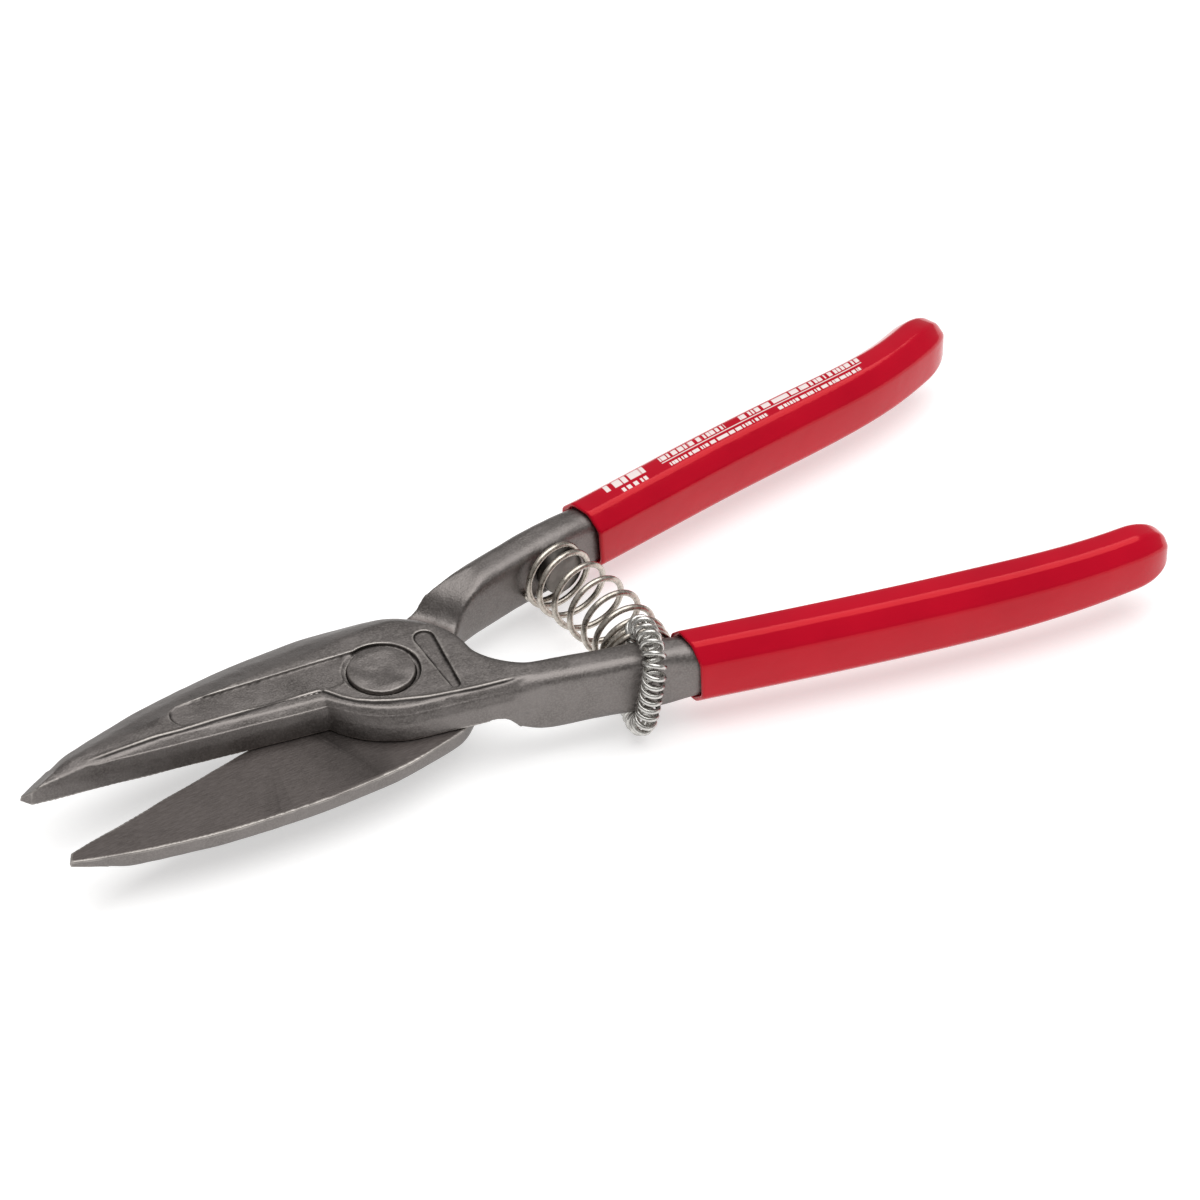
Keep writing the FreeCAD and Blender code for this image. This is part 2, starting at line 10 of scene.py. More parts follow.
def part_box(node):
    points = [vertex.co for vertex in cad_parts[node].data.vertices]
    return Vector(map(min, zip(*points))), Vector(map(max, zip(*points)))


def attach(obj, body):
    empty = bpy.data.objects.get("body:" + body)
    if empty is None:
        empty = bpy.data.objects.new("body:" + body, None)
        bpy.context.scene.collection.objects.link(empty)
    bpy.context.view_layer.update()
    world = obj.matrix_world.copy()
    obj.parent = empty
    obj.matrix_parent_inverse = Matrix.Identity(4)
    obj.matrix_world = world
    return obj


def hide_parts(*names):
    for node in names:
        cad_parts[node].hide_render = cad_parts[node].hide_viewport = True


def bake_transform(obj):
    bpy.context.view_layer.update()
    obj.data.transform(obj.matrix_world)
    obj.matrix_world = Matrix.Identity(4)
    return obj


# Hand-forged tin snips, standing open on their pivot nut. Lengths in this file are millimetres in the
# row frame, and MM turns them into Blender's metres. The pivot is the Z axis, the blades point to -X,
# and the near handle is on the -Y side. "Half frame" means the frame that one forging is drawn in:
# mating face at Z = 0, top upwards, cutting side towards -Y. The rear half is the same forging turned
# over about X.

MM = 0.001

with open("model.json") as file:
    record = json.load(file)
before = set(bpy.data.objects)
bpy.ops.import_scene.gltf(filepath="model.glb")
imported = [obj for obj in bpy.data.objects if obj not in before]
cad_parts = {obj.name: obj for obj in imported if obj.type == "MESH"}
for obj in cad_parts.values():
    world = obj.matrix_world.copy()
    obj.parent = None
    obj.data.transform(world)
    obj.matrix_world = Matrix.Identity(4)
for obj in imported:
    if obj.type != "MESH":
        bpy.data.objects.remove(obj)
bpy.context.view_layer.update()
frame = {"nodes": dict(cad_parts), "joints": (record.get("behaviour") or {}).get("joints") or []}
MATING = frame["joints"][0]["pos_m"][2] / MM
RANDOM_SEED = 7
UP = np.array([0, 0, 1.0])


# --------------------------------------------------------------------------------------------------
# Small helpers.

def smooth_step(value, low, high):
    share = np.clip((value - low) / (high - low), 0.0, 1.0)
    return share * share * (3 - 2 * share)


def box_mm(node):
    low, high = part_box(node)
    return np.array(low) / MM, np.array(high) / MM


def new_object(name, mesh):
    thing = bpy.data.objects.new(name, mesh)
    bpy.context.scene.collection.objects.link(thing)
    return thing


def mesh_from(name, points, faces, smooth=True):
    """A mesh object from points in millimetres."""
    mesh = bpy.data.meshes.new(name)
    mesh.from_pydata([tuple(point) for point in np.asarray(points) * MM], [], faces)
    mesh.polygons.foreach_set("use_smooth", [smooth] * len(mesh.polygons))
    mesh.validate()
    return new_object(name, mesh)


def coordinates(mesh):
    values = np.empty(len(mesh.vertices) * 3, np.float64)
    mesh.vertices.foreach_get("co", values)
    return values.reshape(-1, 3) / MM


def set_coordinates(mesh, points):
    mesh.vertices.foreach_set("co", (np.asarray(points) * MM).ravel())
    mesh.update()


def normals_of(mesh):
    values = np.empty(len(mesh.vertices) * 3, np.float64)
    mesh.vertex_normals.foreach_get("vector", values)
    return values.reshape(-1, 3)


def add_values(mesh, name, values):
    """A number at every point of the mesh, which a material reads by its name."""
    attribute = mesh.attributes.new(name, "FLOAT", "POINT")
    attribute.data.foreach_set("value", np.asarray(values, np.float32))


def with_modifier(thing, kind, **settings):
    """Applies one modifier to the object's mesh."""
    modifier = thing.modifiers.new(kind.lower(), kind)
    for name, value in settings.items():
        setattr(modifier, name, value)
    ready = thing.evaluated_get(bpy.context.evaluated_depsgraph_get())
    mesh = bpy.data.meshes.new_from_object(ready)
    mesh.name = thing.data.name
    thing.modifiers.clear()
    thing.data = mesh
    return mesh


def neighbour_average(mesh):
    """A function that averages numbers, or rows of numbers, over each mesh point's neighbours."""
    edges = np.empty(len(mesh.edges) * 2, np.int64)
    mesh.edges.foreach_get("vertices", edges)
    first, second = edges.reshape(-1, 2).T
    count = len(mesh.vertices)
    neighbours = np.maximum(np.bincount(first, minlength=count) + np.bincount(second, minlength=count), 1)

    def average(values):
        totals = [np.bincount(first, weights=column[second], minlength=count)
                  + np.bincount(second, weights=column[first], minlength=count)
                  for column in values.reshape(count, -1).T]
        return (np.array(totals) / neighbours).T.reshape(values.shape)

    return average


def relax(mesh, rounds):
    """Evens out small steps without shrinking the mesh."""
    points = coordinates(mesh)
    average = neighbour_average(mesh)
    for share in [0.5, -0.52] * rounds:
        points += share * (average(points) - points)
    set_coordinates(mesh, points)


def soften(mesh, weights, rounds):
    """Rounds off the edges where the weights are 1."""
    points = coordinates(mesh)
    average = neighbour_average(mesh)
    for _ in range(rounds):
        points += 0.5 * weights[:, None] * (average(points) - points)
    set_coordinates(mesh, points)


def curvature(mesh):
    """How far each point stands out from its neighbours, along its normal, in millimetres."""
    points = coordinates(mesh)
    average = neighbour_average(mesh)
    stand_out = np.einsum("ij,ij->i", points - average(points), normals_of(mesh))
    for _ in range(3):
        stand_out = 0.5 * stand_out + 0.5 * average(stand_out)
    return stand_out


def wave_noise(points, size, seed):
    """Smooth unevenness between -1 and 1 whose bumps are about as large as size: a sum of plane waves."""
    random = np.random.default_rng(seed)
    total = np.zeros(len(points))
    waves = 14
    for _ in range(waves):
        direction = random.normal(size=3)
        direction /= np.linalg.norm(direction)
        length = size * random.uniform(1.3, 3.0)
        total += np.sin(points @ direction * (2 * math.pi / length) + random.uniform(0, 2 * math.pi))
    return total / math.sqrt(waves)


def finish_piece(piece, body, slot, material, *nodes):
    """Gives a piece its material and its body, and hides the CAD nodes that it stands for. slot is not
    used.
    """
    piece.data.materials.clear()
    piece.data.materials.append(material)
    if nodes:
        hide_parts(*nodes)
    if body:
        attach(piece, body)


# --------------------------------------------------------------------------------------------------
# Materials.

class Nodes:
    """A material's node tree, with short calls to add and link nodes."""

    def __init__(self, name):
        self.material = bpy.data.materials.new(name)
        self.material.use_nodes = True
        self.tree = self.material.node_tree
        self.shader = self.tree.nodes["Principled BSDF"]

    def add(self, kind, **settings):
        node = self.tree.nodes.new(kind)
        for name, value in settings.items():
            setattr(node, name, value)
        return node

    def link(self, source, target):
        self.tree.links.new(source, target)

    def set(self, **values):
        for name, value in values.items():
            self.shader.inputs[name.replace("_", " ")].default_value = value

    def place(self, stretch=(1, 1, 1)):
        """The point on the object, in millimetres, stretched along the axes."""
        coordinate = self.add("ShaderNodeTexCoord")
        mapping = self.add("ShaderNodeMapping")
        mapping.inputs["Scale"].default_value = [value / MM for value in stretch]
        self.link(coordinate.outputs["Object"], mapping.inputs["Vector"])
        return mapping.outputs["Vector"]

    def noise(self, size, detail=3.0, stretch=(1, 1, 1), roughness=0.55):
        """Noise whose patches are about as large as size, in millimetres."""
        texture = self.add("ShaderNodeTexNoise")
        texture.inputs["Scale"].default_value = 1.0 / size
        texture.inputs["Detail"].default_value = detail
        texture.inputs["Roughness"].default_value = roughness
        self.link(self.place(stretch), texture.inputs["Vector"])
        return texture.outputs["Fac"]

    def read(self, name):
        return self.add("ShaderNodeAttribute", attribute_name=name).outputs["Fac"]

    def remap(self, source, low, high, new_low, new_high):
        node = self.add("ShaderNodeMapRange")
        node.inputs["From Min"].default_value = low
        node.inputs["From Max"].default_value = high
        node.inputs["To Min"].default_value = new_low
        node.inputs["To Max"].default_value = new_high
        self.link(source, node.inputs["Value"])
        return node.outputs["Result"]

    def calculate(self, operation, first, second):
        node = self.add("ShaderNodeMath", operation=operation)
        for socket, value in zip(node.inputs, (first, second)):
            if isinstance(value, (int, float)):
                socket.default_value = value
            else:
                self.link(value, socket)
        return node.outputs["Value"]

    def mix(self, share, first, second):
        """A colour between two, each a colour or a socket."""
        node = self.add("ShaderNodeMix", data_type="RGBA")
        self.link(share, node.inputs["Factor"])
        for socket, value in ((node.inputs[6], first), (node.inputs[7], second)):
            if isinstance(value, tuple):
                socket.default_value = (*value, 1)
            else:
                self.link(value, socket)
        return node.outputs[2]

    def bump(self, heights):
        """Bumps from pairs of height source and depth in millimetres."""
        previous = None
        for source, depth in heights:
            node = self.add("ShaderNodeBump")
            node.inputs["Distance"].default_value = depth * MM
            self.link(source, node.inputs["Height"])
            if previous is not None:
                self.link(previous, node.inputs["Normal"])
            previous = node.outputs["Normal"]
        self.link(previous, self.shader.inputs["Normal"])

    def colour(self, source):
        self.link(source, self.shader.inputs["Base Color"])

    def roughness(self, source):
        self.link(source, self.shader.inputs["Roughness"])


def forged_steel_material():
    """Dark, lightly oiled forged steel. "ground" is 1 on faces that are ground flat. The edge number is
    above 0 on worn edges, which are painted lighter as wear and as a painted highlight, and below 0 in
    corners, which are painted near black as painted shade. "ledge" is the distance from the ledge's line,
    which counts where "ledge_on" is 1; along it a dark band is painted shade under the ledge's step and a
    light band is a painted highlight on its lip."""
    nodes = Nodes("forged_steel")
    nodes.set(Metallic=1.0)
    patches = nodes.noise(7.0, 4.0)
    grain = nodes.noise(0.42, 3.0)
    pits = nodes.noise(1.3, 2.0)
    scratches = nodes.noise(0.3, 2.0, (0.15, 1.0, 1.0))
    ground = nodes.read("ground")
    worn_edge_sheen_and_corner_shade = nodes.read("worn_edge_sheen_and_corner_shade")
    forged = nodes.mix(nodes.remap(patches, 0.35, 0.68, 0, 1), (0.15, 0.137, 0.13), (0.205, 0.188, 0.18))
    forged = nodes.mix(nodes.remap(grain, 0.42, 0.62, 0.0, 0.45), forged, (0.28, 0.258, 0.246))
    flat = nodes.mix(nodes.remap(scratches, 0.35, 0.65, 0, 1), (0.128, 0.112, 0.106), (0.166, 0.147, 0.14))
    body = nodes.mix(ground, forged, flat)
    # Worn edges are painted lighter, partly as wear and partly as a painted highlight, and corners are
    # painted near black as painted shade.
    body = nodes.mix(nodes.remap(worn_edge_sheen_and_corner_shade, 0.3, 1.0, 0, 0.7), body, (0.5, 0.47, 0.44))
    body = nodes.mix(nodes.remap(worn_edge_sheen_and_corner_shade, -0.2, -0.9, 0, 0.92), body, (0.016, 0.014, 0.013))
    ledge = nodes.read("ledge")
    ledge_on = nodes.read("ledge_on")
    # Along the ledge's line, a dark band is painted shade under its step and a light band is a painted
    # highlight on its lip.
    ledge_painted_shade = nodes.calculate("MULTIPLY", band(nodes, ledge, -0.05, 0.32, 0.12), ledge_on)
    ledge_painted_highlight = nodes.calculate("MULTIPLY", band(nodes, ledge, -0.5, -0.14, 0.12), ledge_on)
    body = nodes.mix(nodes.remap(ledge_painted_highlight, 0, 1, 0, 0.55), body, (0.36, 0.33, 0.31))
    body = nodes.mix(nodes.remap(ledge_painted_shade, 0, 1, 0, 0.85), body, (0.02, 0.018, 0.017))
    nodes.colour(body)
    rough = nodes.remap(patches, 0.3, 0.7, 0.4, 0.5)
    rough = nodes.calculate("ADD", rough, nodes.remap(grain, 0.35, 0.65, -0.05, 0.05))
    nodes.roughness(rough)
    rough_share = nodes.calculate("SUBTRACT", 1.0, ground)
    nodes.bump([
        (nodes.calculate("MULTIPLY", pits, rough_share), 0.07),
        (nodes.calculate("MULTIPLY", grain, nodes.remap(ground, 0, 1, 1, 0.35)), 0.06),
        (nodes.calculate("MULTIPLY", scratches, ground), 0.015),
    ])
    return nodes.material


def bright_wire_material(name, light, dark):
    """Drawn spring wire: bright, with fine lines along it."""
    nodes = Nodes(name)
    nodes.set(Metallic=1.0)
    streaks = nodes.noise(0.9, 3.0)
    fine = nodes.noise(0.16, 2.0)
    nodes.colour(nodes.mix(nodes.remap(streaks, 0.35, 0.65, 0, 1), dark, light))
    nodes.roughness(nodes.remap(streaks, 0.3, 0.7, 0.2, 0.34))
    nodes.bump([(fine, 0.012)])
    return nodes.material


def plated_material(name, dark, light):
    """Turned and plated steel, a little cloudy."""
    nodes = Nodes(name)
    nodes.set(Metallic=1.0)
    clouds = nodes.noise(3.0, 3.0)
    fine = nodes.noise(0.3, 2.0)
    nodes.colour(nodes.mix(nodes.remap(clouds, 0.35, 0.65, 0, 1), dark, light))
    nodes.roughness(nodes.remap(clouds, 0.3, 0.7, 0.28, 0.42))
    nodes.bump([(fine, 0.015)])
    return nodes.material


def dipped_material(name, printed):
    """Glossy red dip. Where a grip is printed, "run" is the distance along it from its mouth and
    "round" the distance from its top's middle towards the other handle, both in millimetres."""
    nodes = Nodes(name)
    nodes.set(Specular_IOR_Level=1.0, Specular_Tint=(1.0, 0.14, 0.12, 1))
    clouds = nodes.noise(14.0, 3.0)
    fine = nodes.noise(1.1, 2.0)
    red = nodes.mix(nodes.remap(clouds, 0.3, 0.7, 0, 1), (0.44, 0.0015, 0.017), (0.5, 0.002, 0.019))
    rough = nodes.remap(clouds, 0.3, 0.7, 0.12, 0.16)
    if printed:
        ink = print_mask(nodes)
        red = nodes.mix(ink, red, (0.86, 0.78, 0.76))
        rough = nodes.calculate("ADD", rough, nodes.calculate("MULTIPLY", ink, 0.12))
    nodes.colour(red)
    nodes.roughness(rough)
    nodes.bump([(clouds, 0.25), (fine, 0.008)])
    return nodes.material


def band(nodes, source, low, high, soft=0.08):
    """1 where a number is between low and high, with soft borders."""
    rise = nodes.remap(source, low - soft, low + soft, 0, 1)
    fall = nodes.remap(source, high - soft, high + soft, 1, 0)
    return nodes.calculate("MULTIPLY", rise, fall)


# Each row of marks: where it starts and ends along the grip, its two borders across it and its marks' size.
PRINTED_ROWS = [
    (7, 18, -2.4, -0.3, 1.6),
    (10, 17, 0.6, 1.8, 0.9),
    (22, 40, -2.2, -0.8, 0.95),
    (44, 77, -2.2, -0.8, 0.95),
    (23, 50, 0.6, 1.6, 0.65),
    (53, 76, 0.6, 1.6, 0.65),
]


def print_mask(nodes):
    """Plain printed marks along the grip's top: a short block, then a row of thick marks, a thin line
    under them and a row of small marks. None of them is a letter."""
    run = nodes.read("run")
    across = nodes.read("round")

    def stroke(first, last, top, bottom):
        return nodes.calculate("MULTIPLY", band(nodes, run, first, last), band(nodes, across, top, bottom))

    def marks(first, last, top, bottom, size):
        """Short marks of uneven length, about as long as size."""
        uneven = nodes.add("ShaderNodeTexNoise", noise_dimensions="1D")
        uneven.inputs["Scale"].default_value = 1.0
        uneven.inputs["Detail"].default_value = 1.0
        nodes.link(nodes.calculate("MULTIPLY", run, 1.0 / size), uneven.inputs["W"])
        broken = nodes.remap(uneven.outputs["Fac"], 0.43, 0.47, 0, 1)
        return nodes.calculate("MULTIPLY", broken, stroke(first, last, top, bottom))

    total = stroke(22, 77, -0.4, -0.15)
    for row in PRINTED_ROWS:
        total = nodes.calculate("MAXIMUM", total, marks(*row))
    return total


# --------------------------------------------------------------------------------------------------
# The two forgings.

# The mesh's fineness, the ledge's line in plan and the places that keep their crisp shape, in the half
# frame.
VOXEL = 0.23
FACE_LIMIT = 190_000
LEDGE_LINE = [(-66, 8.1), (-57, 6.9), (-51, 6.1), (-44.4, 4.95), (-14.0, 1.25), (-12.7, -0.7),
              (-11.1, -3.4), (-9.2, -5.6), (-6.7, -7.5), (-3.3, -9.5), (3.9, -12.5), (14.4, -15.3),
              (22.3, -16.8)]
LEDGE_DEPTH = 0.38
LEDGE_LIP = 0.12
SHARP_EDGE = 0.02
RECESS_FLOOR = 5.8
HEAD_GROOVE_RADIUS = 9.4
PEG_X = 51.3
GRIP_COVERS = 66.0
BLUNT_TIP = -71.0


def line_distance(points, line):
    """The signed distance in plan from a line of points: positive on the side of -Y."""
    best = np.full(len(points), 1e9)
    sign = np.ones(len(points))
    for start, end in zip(line, line[1:]):
        start = np.array(start, float)
        step = np.array(end, float) - start
        away = points[:, :2] - start
        share = np.clip(away @ step / (step @ step), 0, 1)
        gap = away - share[:, None] * step
        distance = np.hypot(gap[:, 0], gap[:, 1])
        side = step[1] * away[:, 0] - step[0] * away[:, 1]
        closer = distance < best
        best[closer] = distance[closer]
        sign[closer] = np.sign(side[closer])
    return best * sign


def to_half(points, turned):
    """From the row frame to the half frame of the upper or the turned-over lower forging."""
    moved = points.copy()
    if turned:
        moved[:, 1] = -moved[:, 1]
        moved[:, 2] = MATING - moved[:, 2]
    else:
        moved[:, 2] = moved[:, 2] - MATING
    return moved


def from_half(points, turned):
    """From the half frame back to the row frame."""
    moved = points.copy()
    if turned:
        moved[:, 1] = -moved[:, 1]
        moved[:, 2] = MATING - moved[:, 2]
    else:
        moved[:, 2] = moved[:, 2] + MATING
    return moved


def softened_places(points):
    """1 on the outer walls and bevels, 0 near the ground face, the cutting edge and the recesses."""
    x, y, z = points.T
    on_top = z > RECESS_FLOOR
    panel_border = 13.8 - 0.094 * (x + 43.5)
    behind_ledge = line_distance(points, LEDGE_LINE) < 0.9
    panel = (x > -46) & (x < 0) & behind_ledge & (y < panel_border) & on_top
    slot = (np.abs(x - 11.6) < 4.4) & (y > -14.5) & (y < 7.6) & on_top
    round_head = np.hypot(x, y) < HEAD_GROOVE_RADIUS
    peg_hole = np.hypot(x - PEG_X, z) < 6.0
    cutting_side = (np.abs(z) < 1.0) & (x < 15)
    ends = (x > GRIP_COVERS) | (x < BLUNT_TIP)
    return np.where(panel | slot | round_head | peg_hole | cutting_side | ends, 0.0, 1.0)


def upward(mesh, turned):
    """The share of each normal that points up in the half frame."""
    heights = normals_of(mesh)[:, 2]
    return -heights if turned else heights


def on_ledge(points, up, fade_start):
    """1 on the top face along the ledge's line, fading at the line's two ends."""
    on_top = smooth_step(up, 0.3, 0.6) * smooth_step(points[:, 2], 3.0, 4.0)
    along = points[:, 0]
    return on_top * smooth_step(along, -66.0, -60.0) * smooth_step(-along, -22.3, -fade_start)


def shape_surface(mesh, turned):
    """The ledge, which lies a little lower than the top behind a crisp line, and the hammering."""
    points = to_half(coordinates(mesh), turned)
    away = normals_of(mesh)
    up = upward(mesh, turned)
    distance = line_distance(points, LEDGE_LINE)
    drop = smooth_step(distance, -0.15, 0.35) * LEDGE_DEPTH
    lip = np.exp(-((distance + 0.35) / 0.35) ** 2) * LEDGE_LIP
    points[:, 2] += (lip - drop) * on_ledge(points, up, 19.0)
    rough = 1.0 - smooth_step(-up, 0.6, 0.9) * (np.abs(points[:, 2]) < 0.4)
    uneven = 0.05 * wave_noise(points, 6.0, RANDOM_SEED)
    uneven += 0.015 * wave_noise(points, 1.6, RANDOM_SEED + 1)
    uneven *= 1 - smooth_step(points[:, 0], GRIP_COVERS, 70.0)
    if turned:
        away[:, 1:] *= -1
    points += away * (uneven * rough)[:, None]
    set_coordinates(mesh, from_half(points, turned))


def mark_surface(mesh, turned):
    """The numbers at the mesh's points that the forged steel's material reads."""
    points = to_half(coordinates(mesh), turned)
    up = upward(mesh, turned)
    flat = smooth_step(-up, 0.9, 0.98) * (1 - smooth_step(np.abs(points[:, 2]), 0.15, 0.3))
    patchy = 0.8 + 0.2 * wave_noise(points, 4.0, RANDOM_SEED + 2)
    add_values(mesh, "ground", flat)
    # Convex edges get a lighter colour, partly wear and partly a painted highlight; hollow corners get
    # painted shade.
    add_values(mesh, "worn_edge_sheen_and_corner_shade", np.clip(curvature(mesh) / SHARP_EDGE, -1, 1) * patchy)
    add_values(mesh, "ledge", np.clip(line_distance(points, LEDGE_LINE), -3, 3))
    add_values(mesh, "ledge_on", on_ledge(points, up, 21.3))


def forging(node, name, turned):
    """A rounder copy of the CAD forging, with its ledge line and the unevenness of a hammered surface."""
    mesh = frame["nodes"][node].data.copy()
    piece = new_object(name, mesh)
    work = bmesh.new()
    work.from_mesh(mesh)
    bmesh.ops.remove_doubles(work, verts=work.verts, dist=0.002 * MM)
    work.to_mesh(mesh)
    work.free()
    mesh = with_modifier(piece, "REMESH", mode="VOXEL", voxel_size=VOXEL * MM)
    relax(mesh, 7)
    points = to_half(coordinates(mesh), turned)
    free = softened_places(points)
    soften(mesh, free, 16)
    soften(mesh, free * (line_distance(points, LEDGE_LINE) < -2.0), 60)
    shape_surface(mesh, turned)
    triangles = len(mesh.polygons) * 2
    if triangles > FACE_LIMIT:
        mesh = with_modifier(piece, "DECIMATE", ratio=FACE_LIMIT / triangles)
    mesh.polygons.foreach_set("use_smooth", [True] * len(mesh.polygons))
    mark_surface(mesh, turned)
    return piece


# --------------------------------------------------------------------------------------------------
# Turned pieces, sweeps and lofts.

def lathe(name, profile, sides=96, close=True):
    """A piece turned round the Z axis. The profile is radius and height pairs, from the lower middle
    outwards."""
    points = []
    rings = []
    for radius, height in profile:
        if radius < 1e-6:
            rings.append([len(points)])
            points.append((0, 0, height))
            continue
        rings.append(list(range(len(points), len(points) + sides)))
        for side in range(sides):
            turn = 2 * math.pi * side / sides
            points.append((radius * math.cos(turn), radius * math.sin(turn), height))
    faces = []
    pairs = list(zip(rings, rings[1:]))
    if close and len(rings[0]) > 1:
        pairs.append((rings[-1], rings[0]))
    for low, high in pairs:
        for side in range(sides):
            following = (side + 1) % sides
            if len(low) == 1:
                faces.append((low[0], high[following], high[side]))
            elif len(high) == 1:
                faces.append((low[side], low[following], high[0]))
            else:
                faces.append((low[side], low[following], high[following], high[side]))
    return mesh_from(name, points, faces)


def rounded(profile, radius, steps=5):
    """The profile with its corners rounded."""
    result = [profile[0]]
    for before, corner, after in zip(profile, profile[1:], profile[2:]):
        before, corner, after = np.array([before, corner, after], float)
        back = before - corner
        onward = after - corner
        reach = min(radius, 0.45 * np.linalg.norm(back), 0.45 * np.linalg.norm(onward))
        start = corner + back / np.linalg.norm(back) * reach
        end = corner + onward / np.linalg.norm(onward) * reach
        for step in range(steps + 1):
            share = step / steps
            place = (1 - share) ** 2 * start + 2 * share * (1 - share) * corner + share ** 2 * end
            result.append(tuple(place))
    result.append(profile[-1])
    return result


def tube(name, line, across, radius, sides=14, closed=False):
    """A round wire along a line of points. across gives a direction at each point that is never along
    the line."""
    line = np.asarray(line, float)
    count = len(line)
    if closed:
        along = np.roll(line, -1, 0) - np.roll(line, 1, 0)
    else:
        along = np.gradient(line, axis=0)
    along /= np.linalg.norm(along, axis=1)[:, None]
    right = across - along * np.einsum("ij,ij->i", across, along)[:, None]
    right /= np.linalg.norm(right, axis=1)[:, None]
    up = np.cross(along, right)
    turns = np.arange(sides) * 2 * math.pi / sides
    ring = np.cos(turns)[None, :, None] * right[:, None, :] + np.sin(turns)[None, :, None] * up[:, None, :]
    points = (line[:, None, :] + radius * ring).reshape(-1, 3)
    faces = []
    for i in range(count if closed else count - 1):
        onward = (i + 1) % count
        for side in range(sides):
            following = (side + 1) % sides
            faces.append((i * sides + side, i * sides + following,
                          onward * sides + following, onward * sides + side))
    if not closed:
        faces.append(tuple(reversed(range(sides))))
        faces.append(tuple(range((count - 1) * sides, count * sides)))
    return mesh_from(name, points, faces)


# --------------------------------------------------------------------------------------------------
# The handles' lines, read from the CAD forgings.

class HandleLine:
    """Where a handle runs in plan, and its size, from sections of a CAD node along X."""

    def __init__(self, node, first, last):
        source = frame["nodes"][node].data
        points = coordinates(source)
        source.calc_loop_triangles()
        corners = np.empty(len(source.loop_triangles) * 3, np.int64)
        source.loop_triangles.foreach_get("vertices", corners)
        self.triangles = points[corners.reshape(-1, 3)]
        places = np.arange(first, last + 0.5, 1.5)
        rows = [self.measure(x) for x in places]
        middle_y, middle_z, self.widths, self.depths = np.array(rows).T
        self.places = places
        self.low = first
        self.high = last
        self.curve = np.polynomial.Polynomial.fit(places, middle_y, 9)
        self.slope = self.curve.deriv()
        self.height = float(np.median(middle_z))

    def measure(self, x):
        """Middle Y and Z, width in Y and depth in Z of the section at X = x."""
        ends = []
        for start, end in ((0, 1), (1, 2), (2, 0)):
            a = self.triangles[:, start]
            b = self.triangles[:, end]
            crossing = (a[:, 0] - x) * (b[:, 0] - x) < 0
            share = (x - a[crossing, 0]) / (b[crossing, 0] - a[crossing, 0])
            ends.append(a[crossing] + share[:, None] * (b[crossing] - a[crossing]))
        cut = np.vstack(ends)
        low, high = cut.min(0), cut.max(0)
        return (low[1] + high[1]) / 2, (low[2] + high[2]) / 2, high[1] - low[1], high[2] - low[2]

    def middle(self, x):
        """The middle of the section at X = x, which goes on straight past the measured stretch."""
        nearest = min(max(x, self.low), self.high)
        return np.array([x, self.curve(nearest) + self.slope(nearest) * (x - nearest), self.height])

    def along(self, x):
        direction = np.array([1.0, self.slope(min(max(x, self.low), self.high)), 0.0])
        return direction / np.linalg.norm(direction)

    def across(self, x):
        """Level, at right angles to the handle, towards +Y."""
        direction = self.along(x)
        return np.array([-direction[1], direction[0], 0.0])


def facet_section(width, depth, facet, blend, steps=4):
    """A rectangle with flat facets at its corners and small blends between them: (across, up) pairs."""
    half_width = width / 2
    half_depth = depth / 2
    corners = []
    for right, top in ((1, 1), (-1, 1), (-1, -1), (1, -1)):
        side = (right * half_width, top * (half_depth - facet))
        crown = (right * (half_width - facet), top * half_depth)
        corners += [side, crown] if right * top > 0 else [crown, side]
    result = []
    count = len(corners)
    for i, corner in enumerate(corners):
        corner = np.array(corner)
        back = np.array(corners[i - 1]) - corner
        onward = np.array(corners[(i + 1) % count]) - corner
        reach_back = min(blend, 0.46 * np.linalg.norm(back))
        reach_on = min(blend, 0.46 * np.linalg.norm(onward))
        start = corner + back / max(np.linalg.norm(back), 1e-6) * reach_back
        end = corner + onward / max(np.linalg.norm(onward), 1e-6) * reach_on
        for step in range(steps + 1):
            share = step / steps
            result.append((1 - share) ** 2 * start + 2 * share * (1 - share) * corner + share ** 2 * end)
    return np.array(result)


# The grips' sizes. GRIP_FACET is the corner facet's share of the width, MOUTH_FADE is how far the slant
# of the mouth reaches along the sleeve, and the sections are measured between the two MEASURED insets.
GRIP_WALL = 1.5
GRIP_FACET = 0.29
GRIP_BLEND = 0.9
GRIP_LIP = 0.5
MOUTH_INSET = 1.5
MOUTH_FADE = 14.0
DOME_LENGTH = 9.6
DOME_SQUARENESS = 0.78
MEASURED_FROM = 3.8
MEASURED_TO = 7.5


